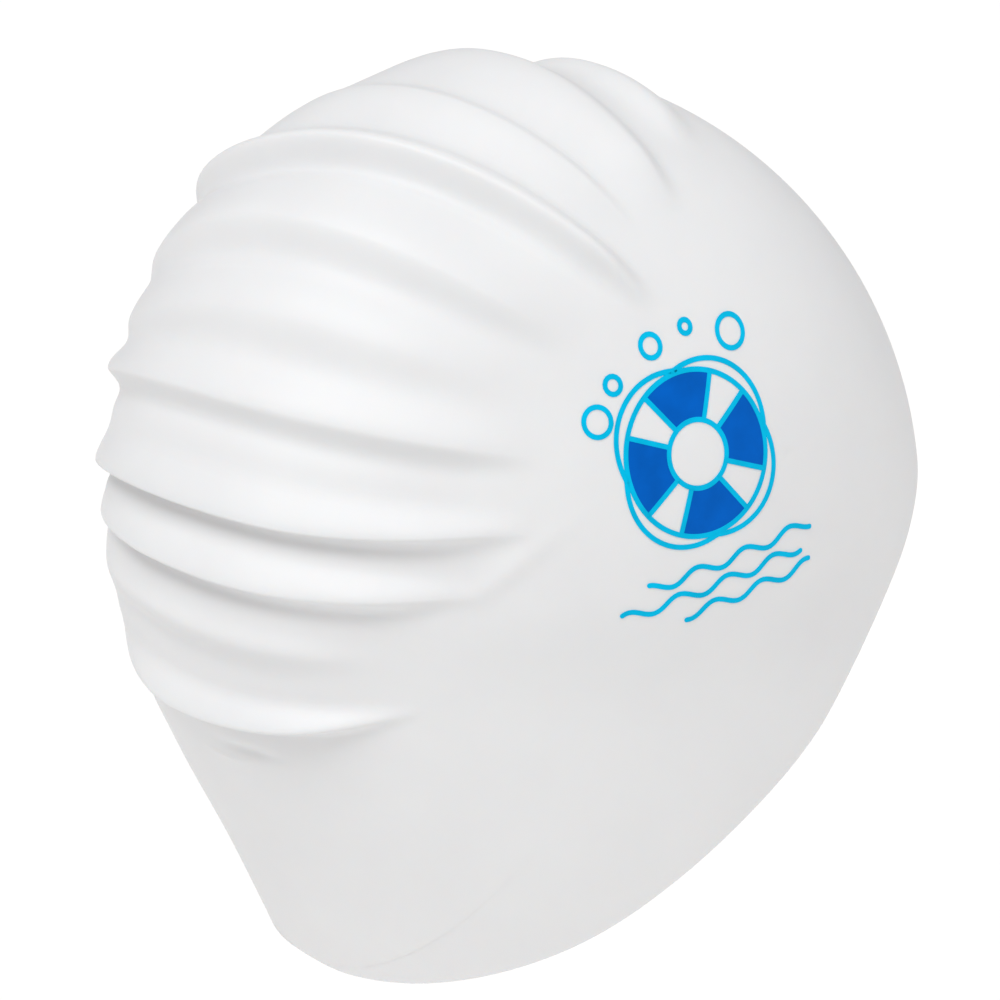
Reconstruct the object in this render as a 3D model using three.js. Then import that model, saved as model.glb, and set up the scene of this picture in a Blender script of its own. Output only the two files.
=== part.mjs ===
// A silicone swim cap with the form it has when it is worn: one moulded shell of even wall,
// taut over the forehead and the sides, with soft folds across the crown and down the back.
// Lengths are millimetres. +Z is up, the forehead is at -Y and the back of the head at +Y.
// The origin is where the top of the head comes to; the folds over the crown stand up to 4 mm clear of it.

import * as THREE from 'three';

// Head form, measured on the outside of the taut silicone, from the level where it is widest
const halfBreadth = 77;
const backReach = 103;
const frontReach = 98.5;
const crownHeight = 110.5;
const crownLean = 12;
const neckDrop = 105;

// Silicone sheet and its rim
const wall = 1.0;
const rimRound = 0.3;

// Folds: the height of a full fold and the unit of its width, and the shares of the way to the midline over
// which a fold rises from its end, by which its crease starts later, over which that crease deepens, and
// over which its height on the wearer's left sets in
const foldHeight = 4.2;
const foldWidth = 4.0;
const foldFade = 0.16;
const creaseDelay = 0.04;
const creaseFade = 0.3;
const farStart = 0.05;
const farSpan = 0.2;

// The folds fan out from a centre on each side of the head, forward of the ear and level with the brow
const fanCentreForward = 30;
const fanCentreAboveBrow = 7;

// How far from the midline a fold's slant levels off, how widely its curl turns, and how far from the fan's
// centre both set in, as shares of the way between the two
const slantSpan = 0.4;
const curlSpan = 0.25;
const turnSpan = 0.4;

// Roundness: 2 is an ellipse, more is squarer
const crownPower = 2.1;
const sectionPower = 2.23;
const leanPower = 1.6;

// Level sections below the widest level, as shares of neckDrop, backReach, halfBreadth and frontReach
const lowerSections = [
  { drop: 0.0, back: 1.0, side: 1.0, front: 1.0 },
  { drop: 0.25, back: 0.945, side: 0.955, front: 0.975 },
  { drop: 0.5, back: 0.83, side: 0.915, front: 0.89 },
  { drop: 0.75, back: 0.695, side: 0.86, front: 0.77 },
  { drop: 1.0, back: 0.575, side: 0.775, front: 0.62 },
];

// Height of the rim round the head, as a share of neckDrop; turn is -90 at the forehead and 90 at the nape
const rimLine = [
  { turn: -90, height: 0.2 },
  { turn: -75, height: 0.17 },
  { turn: -60, height: 0.045 },
  { turn: -50, height: -0.1 },
  { turn: -42, height: -0.27 },
  { turn: -34, height: -0.42 },
  { turn: -20, height: -0.57 },
  { turn: 0, height: -0.73 },
  { turn: 20, height: -0.845 },
  { turn: 45, height: -0.93 },
  { turn: 70, height: -0.967 },
  { turn: 90, height: -0.968 },
];

// One row for each fold. crest is its fan angle at the midline, 0 at the crown and 90 at the back; slant and
// curl are its tilt across the midline and its turn towards both fan centres, in degrees. height, trough
// and lip are shares of foldHeight, rise and fall of foldWidth: rise is the side towards the forehead. far
// is the share of them on the wearer's left. A fold fades out at reach, which is 1 at the midline and 0 at
// the fan's centre; farReach is that on the wearer's left.
const foldColumns = [
  'crest', 'slant', 'curl', 'height', 'far', 'rise', 'fall', 'trough', 'lip', 'reach', 'farReach',
];
const foldRows = [
  [8, 8, 0, 0.65, 1, 3, 2.2, 0.12, 0, 0.66, 0.6],
  [25, 18, 0, 0.85, 1, 2.6, 4.6, 0, 0, 0.52, 0.62],
  [41.5, 32, 0, 0.5, 0.3, 1.3, 3.2, 0, 0, 0.52, 0.5],
  [53.8, 38, 3, 1.1, 0.8, 1.4, 1, 0.42, 0.15, 0.4, 0.46],
  [64.5, 32, 22, 0.8, 0.4, 2.4, 1.3, 0.32, 0.05, 0.46, 0.42],
  [74.2, 22, 20, 0.5, 0.5, 2, 1.3, 0.3, 0, 0.52, 0.55],
  [82.2, 9, 18, 0.8, 0.9, 1.7, 0.8, 0.25, 0.35, 0.46, 0.4],
  [91.6, 4, 26, 1, 0.7, 1.1, 0.65, 0.4, 0.6, 0.47, 0.5],
  [98, 0, 34, 1.05, 0.3, 1, 0.65, 0.35, 0.5, 0.54, 0.46],
  [104.5, -6, 34, 0.4, 0.3, 1, 1, 0.3, 0, 0.66, 0.64],
  [113.3, -8, 28, 1.3, 0.1, 0.8, 0.65, 0.25, 0.45, 0.66, 0.6],
];
const folds = foldRows.map((row) => Object.fromEntries(foldColumns.map((name, i) => [name, row[i]])));

// Mesh density: spokes run from the fan's centre outwards and rings run round it
const frontSpokes = 9;
const napeSpokes = 4;
const rimTurns = 90;
const rimSpokeGap = 0.12;
const rimSpokeWidth = 8;
const spokesBelowCrest = [0, 0.45, 0.9, 1.5, 2.4];
const spokesAboveCrest = [1.1, 0.65, 0.3];
const leastSpokeGap = 0.45;
const plainRings = [0.13, 0.26, 0.37];
const foldRings = [0.44, 0.51, 0.58, 0.65, 0.72, 0.79, 0.86, 0.93, 1];
const plainSpokeGap = 7;

const rad = THREE.MathUtils.degToRad;
const deg = THREE.MathUtils.radToDeg;
const clamp = THREE.MathUtils.clamp;

const smooth = (x) => {
  const t = clamp(x, 0, 1);
  return t * t * (3 - 2 * t);
};

// A smooth function through column key of a table against column along. It is level at its first row,
// and at its last one too unless it is open.
function curveThrough(table, along, key, open = false) {
  const xs = table.map((row) => row[along]);
  const ys = table.map((row) => row[key]);
  const last = xs.length - 1;
  const slopes = xs.map((x, i) => (i === 0 || i === last ? 0 : (ys[i + 1] - ys[i - 1]) / (xs[i + 1] - xs[i - 1])));
  if (open) slopes[last] = (ys[last] - ys[last - 1]) / (xs[last] - xs[last - 1]);
  return (x) => {
    if (x <= xs[0]) return ys[0];
    if (x >= xs[last]) return ys[last] + slopes[last] * (x - xs[last]);
    const i = xs.findIndex((edge) => edge > x) - 1;
    const span = xs[i + 1] - xs[i];
    const t = (x - xs[i]) / span;
    const blend = t * t * (3 - 2 * t);
    return ys[i] + (ys[i + 1] - ys[i]) * blend
      + span * t * (1 - t) * (slopes[i] * (1 - t) - slopes[i + 1] * t);
  };
}

const backShare = curveThrough(lowerSections, 'drop', 'back', true);
const sideShare = curveThrough(lowerSections, 'drop', 'side', true);
const frontShare = curveThrough(lowerSections, 'drop', 'front', true);
const rimShare = curveThrough(rimLine, 'turn', 'height');

// Below zero inside the head form, above zero outside it; z is measured from the widest level.
function headForm(x, y, z) {
  const drop = Math.max(-z, 0) / neckDrop;
  const rise = Math.max(z, 0) / crownHeight;
  if (rise >= 1) return rise;
  const shrink = (1 - rise ** crownPower) ** (1 / crownPower);
  const along = y - crownLean * rise ** leanPower;
  const reach = along > 0 ? backReach * backShare(drop) : frontReach * frontShare(drop);
  const side = halfBreadth * sideShare(drop);
  return (Math.abs(x) / (side * shrink)) ** sectionPower
    + (Math.abs(along) / (reach * shrink)) ** sectionPower - 1;
}

// The value between low and high where test turns from true to false.
function lastTrue(test, low, high) {
  for (let i = 0; i < 34; i += 1) {
    const middle = (low + high) / 2;
    if (test(middle)) low = middle;
    else high = middle;
  }
  return low;
}

const furthest = 3 * (crownHeight + backReach);
const fanCentre = new THREE.Vector3(0, -fanCentreForward, neckDrop * rimShare(-90) + fanCentreAboveBrow);

// Where the rim is at a turn round the head, as a fan angle and a share of the way to the midline.
function rimSpoke(turn) {
  const height = neckDrop * rimShare(turn);
  const way = new THREE.Vector2(Math.cos(rad(turn)), Math.sin(rad(turn)));
  const radius = lastTrue((r) => headForm(way.x * r, way.y * r, height) < 0, 0, furthest);
  const point = new THREE.Vector3(way.x * radius, way.y * radius, height).sub(fanCentre);
  const angle = deg(Math.atan2(point.y, point.z));
  const onMidline = Math.abs(turn) === 90;
  return {
    angle: angle < 0 && turn > -90 ? angle + 360 : angle,
    end: onMidline ? 1 : Math.acos(point.x / point.length()) / (Math.PI / 2),
    point,
    onRim: true,
  };
}

const nape = rimSpoke(90);
const brow = rimSpoke(-90);
const straight = (angle) => ({ crest: angle, slant: 0, curl: 0 });
const turns = [straight(brow.angle), ...folds, straight(nape.angle)];
const slantAt = curveThrough(turns, 'crest', 'slant');
const curlAt = curveThrough(turns, 'crest', 'curl');

// A point of the taut surface. side is -1 on the wearer's right and 1 on the left; angle is the fan angle
// at the midline; share is 0 at the fan's centre and 1 at the midline.
function tautPoint(side, angle, share) {
  const polar = share * Math.PI / 2;
  const across = side * (1 - share);
  const tilt = slantAt(angle) * slantSpan * Math.tanh(across / slantSpan);
  const bend = curlAt(angle) * (Math.hypot(across, curlSpan) - curlSpan);
  const turn = rad(angle + (tilt + bend) * smooth(share / turnSpan));
  const way = new THREE.Vector3(
    side * Math.cos(polar),
    Math.sin(polar) * Math.sin(turn),
    Math.sin(polar) * Math.cos(turn),
  );
  const inside = (r) => headForm(way.x * r, fanCentre.y + way.y * r, fanCentre.z + way.z * r) < 0;
  return way.multiplyScalar(lastTrue(inside, 0, furthest)).add(fanCentre);
}

const bell = (x) => Math.exp(-x * x);
const foldRadius = backReach + fanCentreForward;

// Outward lift and downward slip of the sheet, summed over the folds.
function foldShift(side, angle, share) {
  let lift = 0;
  let slip = 0;
  for (const fold of folds) {
    const reach = side < 0 ? fold.reach : fold.farReach;
    const kept = foldHeight * (1 - (1 - fold.far) * smooth((side * (1 - share) + farStart) / farSpan));
    const ridge = kept * smooth((share - reach) / foldFade);
    const crease = kept * smooth((share - reach - creaseDelay) / creaseFade);
    const below = rad(angle - fold.crest) * foldRadius;
    const fall = fold.fall * foldWidth;
    const width = below < 0 ? fold.rise * foldWidth : fall;
    lift += ridge * fold.height * bell(below / width) - crease * fold.trough * bell(below / fall - 1.8);
    slip += crease * fold.lip * bell(below / (width * 0.8));
  }
  return { lift, slip };
}

const probe = 0.05;

// A point of the outer face of the silicone.
function outerPoint(side, angle, share) {
  const point = tautPoint(side, angle, share);
  const { lift, slip } = foldShift(side, angle, share);
  if (lift === 0 && slip === 0) return point;
  const down = tautPoint(side, angle + probe, share).sub(point).normalize();
  const along = tautPoint(side, angle, share - probe / 10).sub(point).normalize();
  const out = new THREE.Vector3().crossVectors(along, down).multiplyScalar(side).normalize();
  return point.addScaledVector(out, lift).addScaledVector(down, slip);
}

// The outward direction of the outer face.
function outward(side, angle, share) {
  if (share < 0.02) return new THREE.Vector3(side, 0, 0);
  const step = 0.004;
  const up = outerPoint(side, angle - probe * 4, share);
  const down = outerPoint(side, angle + probe * 4, share);
  const near = outerPoint(side, angle, share - step);
  const far = share + step > 1
    ? outerPoint(-side, angle, 2 - share - step)
    : outerPoint(side, angle, share + step);
  return down.sub(up).cross(far.sub(near)).multiplyScalar(side).normalize();
}

function evenly(from, to, count) {
  return Array.from({ length: count }, (unused, i) => from + (to - from) * i / count);
}

// The spokes, which start at the brow, run over the crown and down the back, and return along the rim.
// Those across the folds are closest together where the sheet turns over a crest.
function makeSpokes() {
  const perLength = deg(foldWidth / foldRadius);
  const dense = [];
  for (const fold of folds) {
    for (const step of spokesBelowCrest) dense.push(fold.crest + step * fold.fall * perLength);
    for (const step of spokesAboveCrest) dense.push(fold.crest - step * fold.rise * perLength);
  }
  dense.sort((a, b) => a - b);
  const kept = dense.filter((angle, i) => i === 0 || angle - dense[i - 1] > leastSpokeGap);
  const overCrown = [
    ...evenly(brow.angle, kept[0], frontSpokes).slice(1),
    ...kept,
    ...evenly(kept[kept.length - 1], nape.angle, napeSpokes).slice(1),
  ];
  const alongRim = [nape];
  for (const spoke of evenly(90, -90, rimTurns).map(rimSpoke)) {
    const last = alongRim[alongRim.length - 1];
    const clear = Math.min(spoke.angle - last.angle, brow.angle + 360 - spoke.angle) > rimSpokeGap;
    if (clear && spoke.point.distanceTo(last.point) > rimSpokeWidth) alongRim.push(spoke);
  }
  return [brow, ...overCrown.map((angle) => ({ angle, end: 1, onRim: false })), ...alongRim];
}

// The cap's shell as indexed triangles.
function capGeometry() {
  const spokeList = makeSpokes();
  const angles = spokeList.map((spoke) => spoke.angle);
  const ends = spokeList.map((spoke) => spoke.end);
  const onRim = spokeList.map((spoke) => spoke.onRim);
  const vertices = [];
  const triangles = [];
  const known = new Map();

  function vertex(layer, side, spoke, ring) {
    const middle = ring === 1 && ends[spoke] === 1;
    const key = ring === 0 ? `${layer} ${side}` : `${layer} ${middle ? 0 : side} ${spoke} ${ring}`;
    if (!known.has(key)) {
      const share = ring * ends[spoke];
      const point = outerPoint(side, angles[spoke], share);
      if (middle) point.x = 0;
      if (layer === 'inner') {
        const out = outward(side, angles[spoke], share);
        if (middle) out.setX(0).normalize();
        point.addScaledVector(out, -wall);
      }
      known.set(key, vertices.length);
      vertices.push(point);
    }
    return known.get(key);
  }

  // Joins two rings whose spokes are lists of indices, the sparser one taken from the denser one.
  function stitch(layer, side, innerSpokes, innerRing, outerSpokes, outerRing) {
    const flip = (side > 0) === (layer === 'outer');
    const add = (a, b, c) => triangles.push(flip ? [a, c, b] : [a, b, c]);
    let i = 0;
    let j = 0;
    while (i < innerSpokes.length || j < outerSpokes.length) {
      const a = vertex(layer, side, innerSpokes[i % innerSpokes.length], innerRing);
      const b = vertex(layer, side, outerSpokes[j % outerSpokes.length], outerRing);
      const nextInner = i + 1 < innerSpokes.length ? innerSpokes[i + 1] : angles.length;
      const nextOuter = j + 1 < outerSpokes.length ? outerSpokes[j + 1] : angles.length;
      if (j < outerSpokes.length && (i >= innerSpokes.length || nextOuter <= nextInner)) {
        add(a, b, vertex(layer, side, outerSpokes[(j + 1) % outerSpokes.length], outerRing));
        j += 1;
      } else {
        add(a, b, vertex(layer, side, innerSpokes[(i + 1) % innerSpokes.length], innerRing));
        i += 1;
      }
    }
  }

  const every = angles.map((angle, i) => i);
  let lastKept = -Infinity;
  const sparse = every.filter((i) => {
    const keep = i === 0 || onRim[i] || angles[i] - lastKept >= plainSpokeGap;
    if (keep) lastKept = angles[i];
    return keep;
  });
  for (const layer of ['outer', 'inner']) {
    for (const side of [-1, 1]) {
      const flip = (side > 0) === (layer === 'outer');
      sparse.forEach((spoke, i) => {
        const next = sparse[(i + 1) % sparse.length];
        const ring = [vertex(layer, side, spoke, plainRings[0]), vertex(layer, side, next, plainRings[0])];
        if (flip) ring.reverse();
        triangles.push([vertex(layer, side, spoke, 0), ...ring]);
      });
      let ring = plainRings[0];
      let spokes = sparse;
      for (const nextRing of plainRings.slice(1)) {
        stitch(layer, side, sparse, ring, sparse, nextRing);
        ring = nextRing;
      }
      for (const nextRing of foldRings) {
        stitch(layer, side, spokes, ring, every, nextRing);
        ring = nextRing;
        spokes = every;
      }
    }
  }

  // The rim: its outer and inner edges joined by a narrow rounded strip.
  for (const side of [-1, 1]) {
    const rimSpokeList = every.filter((i) => onRim[i]);
    const first = rimSpokeList.findIndex((i) => spokeList[i] === nape);
    const ordered = [...rimSpokeList.slice(first), ...rimSpokeList.slice(0, first)];
    const crest = ordered.map((spoke) => {
      const a = vertices[vertex('outer', side, spoke, 1)];
      const b = vertices[vertex('inner', side, spoke, 1)];
      const middle = a.clone().add(b).multiplyScalar(0.5);
      const back = outerPoint(side, angles[spoke], ends[spoke] - 0.02);
      const away = a.clone().sub(back).normalize();
      const key = ends[spoke] === 1 ? `crest ${spoke}` : `crest ${side} ${spoke}`;
      if (!known.has(key)) {
        known.set(key, vertices.length);
        if (ends[spoke] === 1) away.set(0, 0, -1);
        vertices.push(middle.addScaledVector(away, rimRound));
      }
      return known.get(key);
    });
    for (let i = 0; i + 1 < ordered.length; i += 1) {
      const outer = [vertex('outer', side, ordered[i], 1), vertex('outer', side, ordered[i + 1], 1)];
      const inner = [vertex('inner', side, ordered[i], 1), vertex('inner', side, ordered[i + 1], 1)];
      const quads = [[outer[0], outer[1], crest[i], crest[i + 1]], [crest[i], crest[i + 1], inner[0], inner[1]]];
      for (const [a, b, c, d] of quads) {
        if (side > 0) triangles.push([a, b, c], [b, d, c]);
        else triangles.push([a, c, b], [b, c, d]);
      }
    }
  }

  const geometry = new THREE.BufferGeometry();
  geometry.setAttribute('position', new THREE.Float32BufferAttribute(vertices.flatMap((v) => v.toArray()), 3));
  geometry.setIndex(triangles.flat());
  geometry.computeVertexNormals();
  return geometry;
}

const silicone = new THREE.MeshStandardMaterial({ color: 0xf4f4f5, roughness: 0.55, metalness: 0 });

const shell = new THREE.Mesh(capGeometry(), silicone);
shell.name = 'cap_shell';

const cap = new THREE.Group();
cap.add(shell);
cap.position.set(0, -crownLean, -(crownHeight - wall));

export default cap;
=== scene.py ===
"""The looks of the silicone swim cap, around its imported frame."""
import math

import bpy
import numpy as np
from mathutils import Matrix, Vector
from mathutils.bvhtree import BVHTree


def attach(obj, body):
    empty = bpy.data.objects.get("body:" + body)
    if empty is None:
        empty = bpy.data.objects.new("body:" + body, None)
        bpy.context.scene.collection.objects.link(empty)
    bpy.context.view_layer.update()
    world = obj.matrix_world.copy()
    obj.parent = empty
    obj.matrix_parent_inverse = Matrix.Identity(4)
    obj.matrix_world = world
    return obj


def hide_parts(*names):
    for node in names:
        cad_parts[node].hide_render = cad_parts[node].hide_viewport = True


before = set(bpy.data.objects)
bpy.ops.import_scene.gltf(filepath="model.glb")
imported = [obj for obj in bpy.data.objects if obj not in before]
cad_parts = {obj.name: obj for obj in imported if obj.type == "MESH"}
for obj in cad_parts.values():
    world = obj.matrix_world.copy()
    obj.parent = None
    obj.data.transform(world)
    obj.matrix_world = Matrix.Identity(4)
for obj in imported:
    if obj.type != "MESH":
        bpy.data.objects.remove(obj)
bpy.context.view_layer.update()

# Lengths are metres. The frame has +Z up, the forehead at -Y and its origin inside the crown.

# Head form, on the outside of the taut silicone, measured from the level where it is widest
HALF_BREADTH = 0.077
BACK_REACH = 0.103
FRONT_REACH = 0.0985
CROWN_HEIGHT = 0.1105
CROWN_LEAN = 0.012
NECK_DROP = 0.105
CROWN_POWER = 2.1
SECTION_POWER = 2.23
LEAN_POWER = 1.6

# Silicone sheet, and the unit sizes of its folds
WALL = 0.0010
FOLD_HEIGHT = 0.0042
FOLD_WIDTH = 0.0040

# Shares of the way from the fan's centre to the midline: over which a fold rises from its end, by which its
# crease starts later, over which that crease deepens, and from which and over which the change to the
# heights on the wearer's left sets in
FOLD_FADE = 0.16
CREASE_DELAY = 0.04
CREASE_FADE = 0.3
FAR_START = 0.05
FAR_SPAN = 0.2

# The crease lies this many falls below the crest, and the lip, this share of the fold wide, hangs over it by
# this many heights times the square of the fold's lip
CREASE_PLACE = 1.8
LIP_WIDTH = 0.8
LIP_GAIN = 2.1

# The folds fan out from a centre on each side of the head, forward of the ear and level with the brow
FAN_CENTRE_FORWARD = 0.030
FAN_CENTRE_ABOVE_BROW = 0.007

# How far from the midline a fold's slant levels off, how widely its curl turns, and how far from the fan's
# centre both set in, as shares of the way between the two
SLANT_SPAN = 0.4
CURL_SPAN = 0.25
TURN_SPAN = 0.4

# Level sections below the widest level: drop, back, side and front, as shares of the head form's sizes
LOWER_SECTIONS = np.array([
    (0.00, 1.000, 1.000, 1.000),
    (0.25, 0.945, 0.955, 0.975),
    (0.50, 0.830, 0.915, 0.890),
    (0.75, 0.695, 0.860, 0.770),
    (1.00, 0.575, 0.775, 0.620),
])

# Rim: turn round the head, -90 at the forehead, and height as a share of NECK_DROP
RIM_LINE = np.array([
    (-90, 0.20),
    (-75, 0.17),
    (-60, 0.045),
    (-50, -0.10),
    (-42, -0.27),
    (-34, -0.42),
    (-20, -0.57),
    (0, -0.73),
    (20, -0.845),
    (45, -0.93),
    (70, -0.967),
    (90, -0.968),
])

# Folds. crest is the fan angle at the midline, 0 at the crown and 90 at the back. slant and curl are the
# tilt of the fold across the midline and its turn towards both fan centres, in degrees. height and trough
# are shares of FOLD_HEIGHT, rise and fall of FOLD_WIDTH, and lip is how sharply the fold hangs over its
# crease. far is the share of the heights left beyond the midline. reach and far_reach are where the fold
# ends on the wearer's right and left, 1 being the midline.
FOLD_COLUMNS = ("crest", "slant", "curl", "height", "far", "rise", "fall", "trough", "lip", "reach",
                "far_reach")
FOLD_ROWS = [
    (8.0, 8, 0, 0.65, 1.0, 3.0, 2.20, 0.12, 0.00, 0.66, 0.60),
    (25.0, 18, 0, 0.85, 1.0, 2.6, 4.60, 0.00, 0.00, 0.52, 0.62),
    (41.5, 32, 0, 0.50, 0.3, 1.3, 3.20, 0.00, 0.00, 0.52, 0.50),
    (53.8, 38, 3, 1.10, 0.8, 1.4, 1.00, 0.42, 0.15, 0.40, 0.46),
    (64.5, 32, 22, 0.80, 0.4, 2.4, 1.30, 0.32, 0.05, 0.46, 0.42),
    (74.2, 22, 20, 0.50, 0.5, 2.0, 1.30, 0.30, 0.00, 0.52, 0.55),
    (81.8, 9, 18, 0.80, 0.9, 1.7, 0.90, 0.27, 0.28, 0.46, 0.40),
    (91.6, 4, 26, 1.00, 0.7, 1.1, 0.65, 0.40, 0.60, 0.47, 0.50),
    (98.0, 0, 34, 1.05, 0.3, 1.0, 0.65, 0.35, 0.50, 0.54, 0.46),
    (104.5, -6, 34, 0.40, 0.3, 1.0, 1.00, 0.30, 0.00, 0.66, 0.64),
    (113.3, -8, 28, 1.30, 0.10, 0.8, 0.65, 0.25, 0.45, 0.66, 0.60),
]
FOLDS = [dict(zip(FOLD_COLUMNS, row)) for row in FOLD_ROWS]

# Small marks on the wearer's right: fan angle and share of the middle, turn from the way to the midline in
# degrees, then half length, half width and height in metres
MARK_COLUMNS = ("angle", "share", "turn", "length", "width", "height")
MARK_ROWS = [
    (118.9, 0.884, -3, 0.0070, 0.0018, -0.0010),
    (120.5, 0.925, -2, 0.0060, 0.0010, 0.0004),
    (95.9, 0.520, 24, 0.0150, 0.0022, 0.0006),
]
MARKS = [dict(zip(MARK_COLUMNS, row)) for row in MARK_ROWS]

# Mesh of one side: spokes from the fan's centre, of which one in COARSE_STEP reaches the rings nearest to
# it. The spokes along the rim are picked from many, at least RIM_GAP degrees and RIM_SPACING apart.
CROWN_SPOKES = 560
RIM_TRIES = 1441
RIM_GAP = 0.008
RIM_SPACING = 0.003
COARSE_STEP = 4
COARSE_RINGS = 14
FINE_RINGS = 30
FINE_START = 0.38
RIM_STEPS = 6

# How close the spokes over the crown lie on plain silicone, and how much closer on a fold and for its
# height. They lie closest CLOSEST_BELOW a crest, over CLOSE_SPAN, or on a mark over MARK_SPAN, in degrees.
SPREAD_STEPS = 4000
PLAIN_CLOSENESS = 0.35
FOLD_CLOSENESS = 0.5
HEIGHT_CLOSENESS = 2
CLOSEST_BELOW = 1.5
CLOSE_SPAN = 2.5
MARK_SPAN = 2

# Halvings that find where a ray leaves the head form, and the small steps of fan angle, in degrees, and of
# share that the directions square to a face are found with
CAST_HALVINGS = 36
STEP_DOWN = 0.05
STEP_IN = 0.005

# Print on the wearer's right, seen from that side: u towards the forehead and v up from its centre.
# A swim ring with dark panels and a rope round it, bubbles above it and waves below. PANEL_SHARE is how much
# of the ring is dark, and ROPE_SAG how far the rope stands off between its ties.
PRINT_CENTRE = (-0.0165, -0.0785)
PRINT_TURN = 12
PRINT_SINK = 0.00005
LINE_RELIEF = 0.00013
FILL_RELIEF = 0.00008
LINE_WIDTH = 0.0012
LINE_STEP = 0.0008
RING_OUTER = 0.0190
RING_INNER = 0.0078
RING_PANELS = 4
PANEL_SHARE = 0.66
ROPE_SAG = 0.0026
PANEL_GRID = (10, 20)
LEAST_CIRCLE_STEPS = 16
END_TURNS = (-60, -30, 0, 30, 60)
PRINT_EDGE_ANGLE = 35

# Bubbles: u, v and radius
BUBBLE_ROWS = [
    (-0.0225, 0.0150, 0.0034),
    (-0.0160, 0.0215, 0.0020),
    (-0.0035, 0.0265, 0.0026),
    (0.0070, 0.0275, 0.0015),
    (0.0185, 0.0225, 0.0037),
]

# Waves: u and v of the middle, and length
WAVE_ROWS = [
    (0.0030, -0.0265, 0.046),
    (-0.0030, -0.0312, 0.050),
    (0.0060, -0.0359, 0.036),
]
WAVE_HEIGHT = 0.0012
WAVE_LENGTH = 0.0135

# Ink and silicone: colours, the shades of them that the mottling runs between, and where in it they lie
CYAN = (0.0, 0.475, 0.76)
DEEP_BLUE = (0.0, 0.108, 0.50)
INK_SHADES = (0.9, 1.08)
WHITE_SHADES = ((0.745, 0.745, 0.752), (0.782, 0.782, 0.785))
SHADE_PLACES = (0.3, 0.7)

# Roughness of each material, from and to
SILICONE_ROUGHNESS = (0.46, 0.56)
CYAN_ROUGHNESS = (0.40, 0.52)
BLUE_ROUGHNESS = (0.42, 0.55)

# Photograph: its width in pixels, the camera's direction and distance, the pixels to a metre at the widest
# level's centre, and where that centre is seen
PHOTO_SIZE = 1000
PHOTO_AZIMUTH = 240.9
PHOTO_ELEVATION = 15.0
PHOTO_DISTANCE = 1.5
PHOTO_SCALE = 4140
PHOTO_CENTRE = (524.2, 513.5)
SENSOR_WIDTH = 36.0

# Floor
FLOOR_REACH = 6.0
FLOOR_LEVEL = -0.45
FLOOR_PALENESS = 0.5

# Light: the room, the floor's own glow, and two large soft lamps given by azimuth, elevation, power and
# spread
ROOM_LIGHT = 0.45
ROOM_TINT = (0.985, 0.985, 1)
FLOOR_GLOW = 0.5
GLOW_TINT = (1, 0.985, 0.965)
LAMPS = {
    "key": (213, 56, 2.0, 36),
    "fill": (325, 38, 0.45, 60),
}

# The centre that the head form is measured from, in the frame
HEAD_CENTRE = np.array([0.0, -CROWN_LEAN, WALL - CROWN_HEIGHT])


def smooth(x):
    """From 0 to 1 as x does, level at both ends."""
    t = np.clip(x, 0, 1)
    return t * t * (3 - 2 * t)


# Head form

def curve_through(table, column, is_open=False):
    """A smooth function through a column of a table against its first, level at its ends unless open."""
    xs, ys = table[:, 0], table[:, column]
    slopes = np.zeros(len(xs))
    slopes[1:-1] = (ys[2:] - ys[:-2]) / (xs[2:] - xs[:-2])
    if is_open:
        slopes[-1] = (ys[-1] - ys[-2]) / (xs[-1] - xs[-2])

    def value(x):
        x = np.asarray(x, float)
        i = np.clip(np.searchsorted(xs, x, side="right") - 1, 0, len(xs) - 2)
        span = xs[i + 1] - xs[i]
        t = np.clip((x - xs[i]) / span, 0, 1)
        inside = ys[i] + (ys[i + 1] - ys[i]) * smooth(t)
        inside = inside + span * t * (1 - t) * (slopes[i] * (1 - t) - slopes[i + 1] * t)
        beyond = ys[-1] + slopes[-1] * (x - xs[-1])
        return np.where(x <= xs[0], ys[0], np.where(x >= xs[-1], beyond, inside))

    return value


back_share = curve_through(LOWER_SECTIONS, 1, is_open=True)
side_share = curve_through(LOWER_SECTIONS, 2, is_open=True)
front_share = curve_through(LOWER_SECTIONS, 3, is_open=True)
rim_share = curve_through(RIM_LINE, 1)


def head_form(x, y, z):
    """Below zero inside the head form, measured from its centre, and above zero outside it."""
    drop = np.maximum(-z, 0) / NECK_DROP
    rise = np.clip(z, 0, None) / CROWN_HEIGHT
    shrink = np.maximum(1 - np.minimum(rise, 1) ** CROWN_POWER, 1e-12) ** (1 / CROWN_POWER)
    along = y - CROWN_LEAN * rise ** LEAN_POWER
    reach = np.where(along > 0, BACK_REACH * back_share(drop), FRONT_REACH * front_share(drop))
    side = HALF_BREADTH * side_share(drop)
    sideways = (np.abs(x) / (side * shrink)) ** SECTION_POWER
    lengthways = (np.abs(along) / (reach * shrink)) ** SECTION_POWER
    return np.where(rise >= 1, rise, sideways + lengthways - 1)


def cast_to_form(start, way):
    """Where rays from inside the head form leave it."""
    low = np.zeros(way.shape[:-1])
    high = np.full(way.shape[:-1], 3 * (CROWN_HEIGHT + BACK_REACH))
    for _ in range(CAST_HALVINGS):
        middle = (low + high) / 2
        point = start + way * middle[..., None]
        inside = head_form(point[..., 0], point[..., 1], point[..., 2]) < 0
        low = np.where(inside, middle, low)
        high = np.where(inside, high, middle)
    return start + way * low[..., None]


FAN_CENTRE = np.array([0.0, -FAN_CENTRE_FORWARD, NECK_DROP * rim_share(-90) + FAN_CENTRE_ABOVE_BROW])


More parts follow.
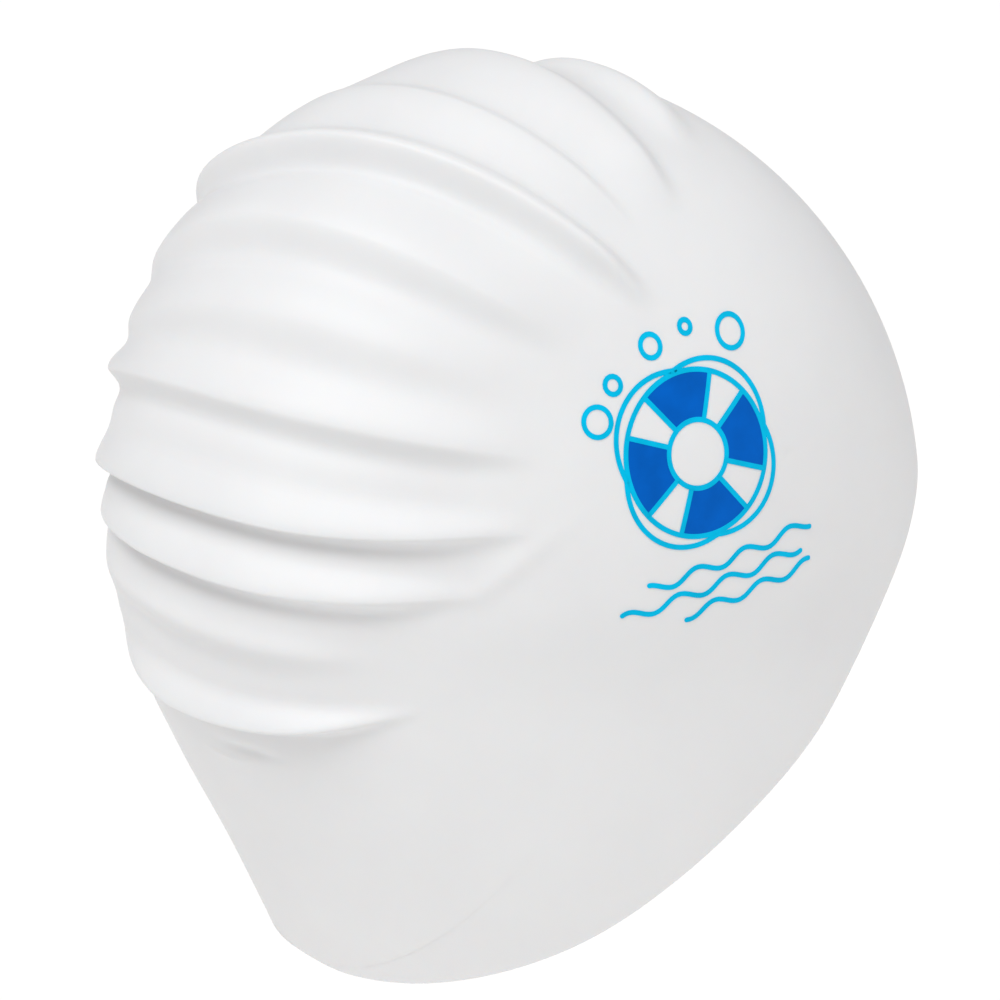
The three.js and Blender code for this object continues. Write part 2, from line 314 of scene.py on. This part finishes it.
def rim_spokes(turns):
    """Fan angles and ends of the spokes that meet the rim at some turns round the head."""
    turns = np.asarray(turns, float)
    height = NECK_DROP * rim_share(turns)
    start = np.stack([np.zeros_like(turns), np.zeros_like(turns), height], -1)
    way = np.stack([np.cos(np.radians(turns)), np.sin(np.radians(turns)), np.zeros_like(turns)], -1)
    point = cast_to_form(start, way) - FAN_CENTRE
    angle = np.degrees(np.arctan2(point[:, 1], point[:, 2]))
    angle = np.where((angle < 0) & (turns > -90), angle + 360, angle)
    end = np.arccos(point[:, 0] / np.linalg.norm(point, axis=1)) / (math.pi / 2)
    return angle, np.where(np.abs(turns) == 90, 1.0, end), point


(NAPE_ANGLE, BROW_ANGLE), _, _ = rim_spokes([90, -90])
TURNS = np.array([(BROW_ANGLE, 0, 0), *(row[:3] for row in FOLD_ROWS), (NAPE_ANGLE, 0, 0)])
slant_at = curve_through(TURNS, 1)
curl_at = curve_through(TURNS, 2)


def taut_point(side, angle, share):
    """A point of the taut surface.

    side is -1 on the wearer's right, and share is 0 at the fan's centre and 1 at the midline.
    """
    polar = share * math.pi / 2
    across = side * (1 - share)
    tilt = slant_at(angle) * SLANT_SPAN * np.tanh(across / SLANT_SPAN)
    bend = curl_at(angle) * (np.hypot(across, CURL_SPAN) - CURL_SPAN)
    turn = np.radians(angle + (tilt + bend) * smooth(share / TURN_SPAN))
    way = np.stack([side * np.cos(polar), np.sin(polar) * np.sin(turn), np.sin(polar) * np.cos(turn)], -1)
    return cast_to_form(FAN_CENTRE, way)


# Folds

def bell(x):
    """1 at 0, falling away smoothly on both sides."""
    return np.exp(-x * x)


def mark_lift(angle, share):
    """Outward lift of the small marks on the wearer's right."""
    radius = BACK_REACH + FAN_CENTRE_FORWARD
    lift = np.zeros_like(share)
    for mark in MARKS:
        inward = (share - mark["share"]) * radius * math.pi / 2
        below = np.radians(angle - mark["angle"]) * radius * math.sin(mark["share"] * math.pi / 2)
        turn = math.radians(mark["turn"])
        along = inward * math.cos(turn) + below * math.sin(turn)
        across = below * math.cos(turn) - inward * math.sin(turn)
        lift += mark["height"] * bell(along / mark["length"]) * bell(across / mark["width"])
    return lift


def fold_shift(side, angle, share):
    """Outward lift and downward slip of the sheet, summed over the folds."""
    radius = BACK_REACH + FAN_CENTRE_FORWARD
    lift = np.zeros_like(share)
    slip = np.zeros_like(share)
    for fold in FOLDS:
        reach = fold["reach"] if side < 0 else fold["far_reach"]
        kept = FOLD_HEIGHT * (1 - (1 - fold["far"]) * smooth((side * (1 - share) + FAR_START) / FAR_SPAN))
        ridge = kept * smooth((share - reach) / FOLD_FADE)
        crease = kept * smooth((share - reach - CREASE_DELAY) / CREASE_FADE)
        below = np.radians(angle - fold["crest"]) * radius
        fall = fold["fall"] * FOLD_WIDTH
        width = np.where(below < 0, fold["rise"] * FOLD_WIDTH, fall)
        lift += ridge * fold["height"] * bell(below / width)
        lift -= crease * fold["trough"] * bell(below / fall - CREASE_PLACE)
        slip += crease * LIP_GAIN * fold["lip"] ** 2 * bell(below / (width * LIP_WIDTH))
    if side < 0:
        lift += mark_lift(angle, share)
    return lift, slip


def unit(vectors):
    return vectors / np.linalg.norm(vectors, axis=-1, keepdims=True)


def outer_points(side, angle, share):
    """Points of the outer face of the silicone."""
    point = taut_point(side, angle, share)
    down = unit(taut_point(side, angle + STEP_DOWN, share) - point)
    inward = unit(taut_point(side, angle, share - STEP_IN) - point)
    out = unit(np.cross(inward, down) * side)
    lift, slip = fold_shift(side, angle, share)
    return point + out * lift[..., None] + down * slip[..., None]


def outer_normals(side, angle, share):
    """Outward directions square to the outer face."""
    point = outer_points(side, angle, share)
    down = outer_points(side, angle + STEP_DOWN, share) - point
    inward = outer_points(side, angle, share - STEP_IN) - point
    return unit(np.cross(inward, down) * side)


# Shell mesh

def crown_angles(count):
    """Fan angles over the crown, closest together on the folds."""
    fine = np.linspace(BROW_ANGLE, NAPE_ANGLE, SPREAD_STEPS)
    density = np.full_like(fine, PLAIN_CLOSENESS)
    for fold in FOLDS:
        closeness = FOLD_CLOSENESS + HEIGHT_CLOSENESS * fold["height"]
        density += closeness * bell((fine - fold["crest"] - CLOSEST_BELOW) / CLOSE_SPAN)
    for mark in MARKS:
        density += bell((fine - mark["angle"]) / MARK_SPAN)
    total = np.concatenate([[0], np.cumsum((density[1:] + density[:-1]) / 2)])
    return np.interp(np.linspace(0, total[-1], count + 1), total, fine)[:-1]


def rim_fan():
    """Fan angles and ends of the spokes along the rim, clear of each other in angle and in length."""
    angle, end, point = rim_spokes(np.linspace(90, -90, RIM_TRIES))
    chosen = [0]
    for i in range(1, len(angle)):
        last = chosen[-1]
        gap = min(angle[i] - angle[last], BROW_ANGLE + 360 - angle[i])
        if gap > RIM_GAP and np.linalg.norm(point[i] - point[last]) > RIM_SPACING:
            chosen.append(i)
    return angle[chosen], end[chosen]


def ring_shares():
    """How far out along their spokes the rings lie: wide apart near the centre, close on the folds."""
    coarse = np.linspace(0, FINE_START, COARSE_RINGS + 1)[1:]
    fine = FINE_START + (1 - FINE_START) * np.linspace(0, 1, FINE_RINGS + 1)[1:]
    return np.concatenate([coarse, fine])


def half_faces(grid, centre, side):
    """Faces of one side from its grid of vertex numbers, spokes by rings."""
    following = np.roll(grid, -1, axis=0)
    coarse = grid[::COARSE_STEP]
    coarse_next = np.roll(coarse, -1, axis=0)
    faces = [(centre, a, b) for a, b in zip(coarse[:, 0], coarse_next[:, 0])]
    for ring in range(COARSE_RINGS - 1):
        faces += zip(coarse[:, ring], coarse[:, ring + 1], coarse_next[:, ring + 1], coarse_next[:, ring])
    seam = COARSE_RINGS
    for spoke, (a, b) in enumerate(zip(coarse[:, seam - 1], coarse_next[:, seam - 1])):
        outer = [grid[(spoke * COARSE_STEP + k) % len(grid), seam] for k in range(COARSE_STEP + 1)]
        middle = COARSE_STEP // 2
        faces += [(a, outer[k], outer[k + 1]) for k in range(middle)]
        faces.append((a, outer[middle], b))
        faces += [(b, outer[k], outer[k + 1]) for k in range(middle, COARSE_STEP)]
    for ring in range(seam, grid.shape[1] - 1):
        faces += zip(grid[:, ring], grid[:, ring + 1], following[:, ring + 1], following[:, ring])
    return [tuple(int(i) for i in (face if side < 0 else face[::-1])) for face in faces]


def outer_sheet():
    """Vertices, normals and faces of the outer face, and the vertex numbers along each side's rim."""
    along, ends_along = rim_fan()
    crown = CROWN_SPOKES - (CROWN_SPOKES + len(along)) % COARSE_STEP
    angles = np.concatenate([crown_angles(crown), along])
    ends = np.concatenate([np.ones(crown), ends_along])
    shares = ring_shares()
    used = np.ones((len(angles), len(shares)), bool)
    used[:, :COARSE_RINGS] = (np.arange(len(angles)) % COARSE_STEP == 0)[:, None]
    on_midline = np.zeros_like(used)
    on_midline[:crown + 1, -1] = True
    points, normals, faces, rims = [], [], [], []
    middle_grid = None
    for side in (-1, 1):
        share = ends[:, None] * shares[None, :]
        angle = np.broadcast_to(angles[:, None], share.shape)
        place = outer_points(side, angle, share)
        place[on_midline, 0] = 0
        grid = np.full(share.shape, -1)
        fresh = used & ~on_midline if side > 0 else used
        grid[fresh] = len(points) + np.arange(fresh.sum())
        if side > 0:
            grid[on_midline] = middle_grid
        middle_grid = grid[on_midline]
        points += list(place[fresh])
        normals += list(outer_normals(side, angle, share)[fresh])
        centre = len(points)
        points.append(taut_point(side, np.array([0.0]), np.array([0.0]))[0])
        normals.append(np.array([side, 0.0, 0.0]))
        faces += half_faces(grid, centre, side)
        rims.append([*grid[crown:, -1], grid[0, -1]])
    return np.array(points), np.array(normals), faces, rims


def add_mesh(name, points, faces, material, normals=None):
    mesh = bpy.data.meshes.new(name)
    mesh.from_pydata([tuple(p) for p in points], [], faces)
    mesh.materials.append(material)
    mesh.validate()
    mesh.shade_smooth()
    if normals is not None:
        mesh.normals_split_custom_set_from_vertices([tuple(n) for n in normals])
    piece = bpy.data.objects.new(name, mesh)
    bpy.context.scene.collection.objects.link(piece)
    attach(piece, "root")
    return piece


def make_cap(material):
    """The shell: outer face, inner face one wall inside it, and a round rim between them."""
    outer, normals, faces, rims = outer_sheet()
    count = len(outer)
    points = [outer, outer - normals * WALL]
    facing = [normals, -normals]
    faces = faces + [tuple(i + count for i in face[::-1]) for face in faces]
    total = 2 * count
    loop = rims[0][::-1] + rims[1][1:-1]
    loop = [int(i) for i in loop]
    edge, normal = outer[loop], normals[loop]
    along = np.roll(edge, -1, axis=0) - np.roll(edge, 1, axis=0)
    away = unit(np.cross(normal, along))
    strips = [np.array(loop)]
    for step in range(1, RIM_STEPS):
        turn = math.pi * step / RIM_STEPS
        bulge = normal * math.cos(turn) + away * math.sin(turn)
        points.append(edge - normal * WALL / 2 + bulge * WALL / 2)
        facing.append(bulge)
        strips.append(total + np.arange(len(loop)))
        total += len(loop)
    strips.append(np.array(loop) + count)
    for a, b in zip(strips, strips[1:]):
        faces += [tuple(int(i) for i in quad) for quad in zip(a, np.roll(a, -1), np.roll(b, -1), b)]
    points = np.concatenate(points) + HEAD_CENTRE
    return add_mesh("cap", points, faces, material, np.concatenate(facing))


# Print

def stroke(path, closed=False):
    """A line of the print as points and faces in the plane, with round ends unless it is closed."""
    path = np.array(path, float)
    if closed:
        along = np.roll(path, -1, axis=0) - np.roll(path, 1, axis=0)
    else:
        along = np.gradient(path, axis=0)
    along = unit(along)
    left = np.stack([-along[:, 1], along[:, 0]], -1) * LINE_WIDTH / 2
    points = [*(path + left), *(path - left)]
    count = len(path)
    steps = range(count if closed else count - 1)
    faces = [(i, i + count, (i + 1) % count + count, (i + 1) % count) for i in steps]
    if not closed:
        for end, way in ((0, -1), (count - 1, 1)):
            arc = [end + count if way > 0 else end]
            for turn in np.radians(END_TURNS):
                arc.append(len(points))
                ahead = along[end] * math.cos(turn) * LINE_WIDTH / 2
                points.append(path[end] + way * (ahead + left[end] * math.sin(turn)))
            arc.append(end if way > 0 else end + count)
            faces.append(tuple(arc))
    return np.array(points), faces


def circle(centre, radius):
    count = max(LEAST_CIRCLE_STEPS, round(2 * math.pi * radius / LINE_STEP))
    turn = np.linspace(0, 2 * math.pi, count, endpoint=False)
    return np.array(centre) + radius * np.stack([np.cos(turn), np.sin(turn)], -1)


def straight(start, end):
    start, end = np.array(start), np.array(end)
    count = max(3, round(np.linalg.norm(end - start) / LINE_STEP))
    return start + (end - start) * np.linspace(0, 1, count)[:, None]


def wave(u, v, length):
    """A wavy line about a middle point."""
    along = np.linspace(-length / 2, length / 2, round(length / LINE_STEP))
    return np.stack([u + along, v + WAVE_HEIGHT * np.sin(2 * math.pi * along / WAVE_LENGTH)], -1)


def panel(start, end):
    """A dark panel of the swim ring, between two turns round it."""
    turns = np.linspace(start, end, PANEL_GRID[1])
    radii = np.linspace(RING_INNER, RING_OUTER, PANEL_GRID[0])
    points = np.stack([np.outer(radii, np.cos(turns)), np.outer(radii, np.sin(turns))], -1).reshape(-1, 2)
    number = np.arange(len(points)).reshape(len(radii), len(turns))
    corners = (number[:-1, :-1], number[1:, :-1], number[1:, 1:], number[:-1, 1:])
    return points, list(zip(*(corner.ravel() for corner in corners)))


def rope():
    """A rope round the swim ring, tied to it in the middle of each dark panel."""
    count = round(2 * math.pi * RING_OUTER / LINE_STEP)
    turn = np.linspace(0, 2 * math.pi, count, endpoint=False)
    sag = ROPE_SAG * np.abs(np.sin(turn * RING_PANELS / 2))
    radius = RING_OUTER + LINE_WIDTH / 2 + sag
    return radius[:, None] * np.stack([np.cos(turn), np.sin(turn)], -1)


def panel_turns():
    """Where each dark panel of the swim ring starts and ends."""
    step = 2 * math.pi / RING_PANELS
    half = PANEL_SHARE * step / 2
    return [(i * step - half, i * step + half) for i in range(RING_PANELS)]


def print_lines():
    """The cyan lines: the ring, the borders of its panels, its rope, the bubbles and the waves."""
    lines = [stroke(circle((0, 0), radius), closed=True) for radius in (RING_OUTER, RING_INNER)]
    for turns in panel_turns():
        for turn in turns:
            way = np.array([math.cos(turn), math.sin(turn)])
            lines.append(stroke(straight(way * RING_INNER, way * RING_OUTER)))
    lines.append(stroke(rope(), closed=True))
    lines += [stroke(circle((u, v), radius), closed=True) for u, v, radius in BUBBLE_ROWS]
    lines += [stroke(wave(u, v, length)) for u, v, length in WAVE_ROWS]
    return lines


def print_fills():
    return [panel(start, end) for start, end in panel_turns()]


def on_cap(cap_tree, flat, height):
    """Points of the print laid on the cap from the wearer's right, a height above its face."""
    turn = math.radians(PRINT_TURN)
    placed = []
    for u, v in flat:
        forward = u * math.cos(turn) - v * math.sin(turn)
        up = u * math.sin(turn) + v * math.cos(turn)
        start = Vector((-2 * HALF_BREADTH, PRINT_CENTRE[0] - forward, PRINT_CENTRE[1] + up))
        point, normal, _, _ = cap_tree.ray_cast(start, Vector((1, 0, 0)))
        placed.append(point + normal * height)
    return placed


def make_print(name, shapes, relief, cap_tree, material):
    """Thin closed pieces of ink on the cap, from shapes in the plane of the print."""
    points, faces = [], []
    for flat, flat_faces in shapes:
        low, high = len(points), len(points) + len(flat)
        points += on_cap(cap_tree, flat, -PRINT_SINK) + on_cap(cap_tree, flat, relief)
        edges = {(face[i - 1], face[i]) for face in flat_faces for i in range(len(face))}
        faces += [tuple(int(i) + high for i in face) for face in flat_faces]
        faces += [tuple(int(i) + low for i in face[::-1]) for face in flat_faces]
        border = [(a, b) for a, b in edges if (b, a) not in edges]
        faces += [(int(a) + low, int(b) + low, int(b) + high, int(a) + high) for a, b in sorted(border)]
    piece = add_mesh(name, points, faces, material)
    piece.data.set_sharp_from_angle(angle=math.radians(PRINT_EDGE_ANGLE))
    return piece


# Materials

def new_material(name):
    material = bpy.data.materials.new(name)
    material.use_nodes = True
    return material, material.node_tree.nodes, material.node_tree.links


def noise(nodes, links, scale, detail):
    """A noise that stays fixed to the object."""
    place = nodes.new("ShaderNodeTexCoord")
    texture = nodes.new("ShaderNodeTexNoise")
    texture.inputs["Scale"].default_value = scale
    texture.inputs["Detail"].default_value = detail
    links.new(place.outputs["Object"], texture.inputs["Vector"])
    return texture.outputs["Fac"]


def mottle_colour(nodes, links, cloud, shades):
    """Colour that runs between two shades with a noise."""
    tint = nodes.new("ShaderNodeValToRGB")
    for element, place, shade in zip(tint.color_ramp.elements, SHADE_PLACES, shades):
        element.position = place
        element.color = (*shade, 1)
    links.new(cloud, tint.inputs["Fac"])
    links.new(tint.outputs["Color"], nodes["Principled BSDF"].inputs["Base Color"])


def mottle_roughness(nodes, links, cloud, roughness):
    """Roughness that runs between two values with a noise."""
    rough = nodes.new("ShaderNodeMapRange")
    rough.inputs["To Min"].default_value, rough.inputs["To Max"].default_value = roughness
    links.new(cloud, rough.inputs["Value"])
    links.new(rough.outputs["Result"], nodes["Principled BSDF"].inputs["Roughness"])


def add_grain(nodes, links, grain, strength, distance):
    """A fine uneven surface from a noise."""
    bump = nodes.new("ShaderNodeBump")
    bump.inputs["Strength"].default_value = strength
    bump.inputs["Distance"].default_value = distance
    links.new(grain, bump.inputs["Height"])
    links.new(bump.outputs["Normal"], nodes["Principled BSDF"].inputs["Normal"])


def silicone_material():
    """Matt white silicone: faint mottling, a fine powdery grain and soft light under the surface."""
    material, nodes, links = new_material("white_silicone")
    shader = nodes["Principled BSDF"]
    shader.inputs["Subsurface Weight"].default_value = 0.25
    shader.inputs["Subsurface Radius"].default_value = (0.006, 0.004, 0.003)
    shader.inputs["Subsurface Scale"].default_value = 0.6
    shader.inputs["IOR"].default_value = 1.41
    mottle = noise(nodes, links, scale=22, detail=5)
    mottle_colour(nodes, links, mottle, WHITE_SHADES)
    mottle_roughness(nodes, links, mottle, SILICONE_ROUGHNESS)
    add_grain(nodes, links, noise(nodes, links, scale=2600, detail=3), strength=0.06, distance=0.0002)
    return material


def ink_material(name, colour, roughness):
    """Printed ink: an even colour with a faint unevenness in its depth and in its shine."""
    material, nodes, links = new_material(name)
    shader = nodes["Principled BSDF"]
    shader.inputs["IOR"].default_value = 1.45
    shader.inputs["Specular IOR Level"].default_value = 0.05
    cloud = noise(nodes, links, scale=160, detail=4)
    mottle_colour(nodes, links, cloud, [[channel * shade for channel in colour] for shade in INK_SHADES])
    mottle_roughness(nodes, links, cloud, roughness)
    add_grain(nodes, links, noise(nodes, links, scale=3200, detail=2), strength=0.05, distance=0.0001)
    return material


# Stage

def make_floor():
    sides = ((-1, -1), (1, -1), (1, 1), (-1, 1))
    corners = [(x * FLOOR_REACH, y * FLOOR_REACH, FLOOR_LEVEL) for x, y in sides]
    mesh = bpy.data.meshes.new("floor")
    mesh.from_pydata(corners, [], [(0, 1, 2, 3)])
    material, nodes, _ = new_material("pale_floor")
    shader = nodes["Principled BSDF"]
    shader.inputs["Base Color"].default_value = (*[FLOOR_PALENESS] * 3, 1)
    shader.inputs["Emission Color"].default_value = (*GLOW_TINT, 1)
    shader.inputs["Emission Strength"].default_value = FLOOR_GLOW
    shader.inputs["Roughness"].default_value = 0.8
    mesh.materials.append(material)
    floor = bpy.data.objects.new("floor", mesh)
    bpy.context.scene.collection.objects.link(floor)


def away_from_object(azimuth, elevation):
    """The direction from the object to something seen at an azimuth and elevation."""
    a, e = math.radians(azimuth), math.radians(elevation)
    return Vector((math.sin(a) * math.cos(e), -math.cos(a) * math.cos(e), math.sin(e)))


def make_lights():
    world = bpy.data.worlds.new("studio")
    world.use_nodes = True
    background = world.node_tree.nodes["Background"]
    background.inputs["Color"].default_value = (*ROOM_TINT, 1)
    background.inputs["Strength"].default_value = ROOM_LIGHT
    bpy.context.scene.world = world
    for name, (azimuth, elevation, power, spread) in LAMPS.items():
        light = bpy.data.lights.new(name, "SUN")
        light.energy = power
        light.angle = math.radians(spread)
        lamp = bpy.data.objects.new(name, light)
        lamp.rotation_euler = away_from_object(azimuth, elevation).to_track_quat("Z", "Y").to_euler()
        bpy.context.scene.collection.objects.link(lamp)


def make_camera():
    data = bpy.data.cameras.new("camera")
    data.sensor_width = SENSOR_WIDTH
    data.lens = PHOTO_SCALE * PHOTO_DISTANCE * SENSOR_WIDTH / PHOTO_SIZE
    data.shift_x = 0.5 - PHOTO_CENTRE[0] / PHOTO_SIZE
    data.shift_y = PHOTO_CENTRE[1] / PHOTO_SIZE - 0.5
    camera = bpy.data.objects.new("camera", data)
    way = away_from_object(PHOTO_AZIMUTH, PHOTO_ELEVATION)
    camera.location = Vector(HEAD_CENTRE) + way * PHOTO_DISTANCE
    camera.rotation_euler = way.to_track_quat("Z", "Y").to_euler()
    bpy.context.scene.collection.objects.link(camera)
    bpy.context.scene.camera = camera


make_camera()
make_lights()
make_floor()
bpy.context.scene.view_settings.view_transform = "Standard"

cap = make_cap(silicone_material())
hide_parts("cap_shell")

cap_tree = BVHTree.FromPolygons([v.co for v in cap.data.vertices], [p.vertices for p in cap.data.polygons])
cyan_ink = ink_material("cyan_ink", CYAN, CYAN_ROUGHNESS)
blue_ink = ink_material("blue_ink", DEEP_BLUE, BLUE_ROUGHNESS)
make_print("print_lines", print_lines(), LINE_RELIEF, cap_tree, cyan_ink)
make_print("print_fills", print_fills(), FILL_RELIEF, cap_tree, blue_ink)
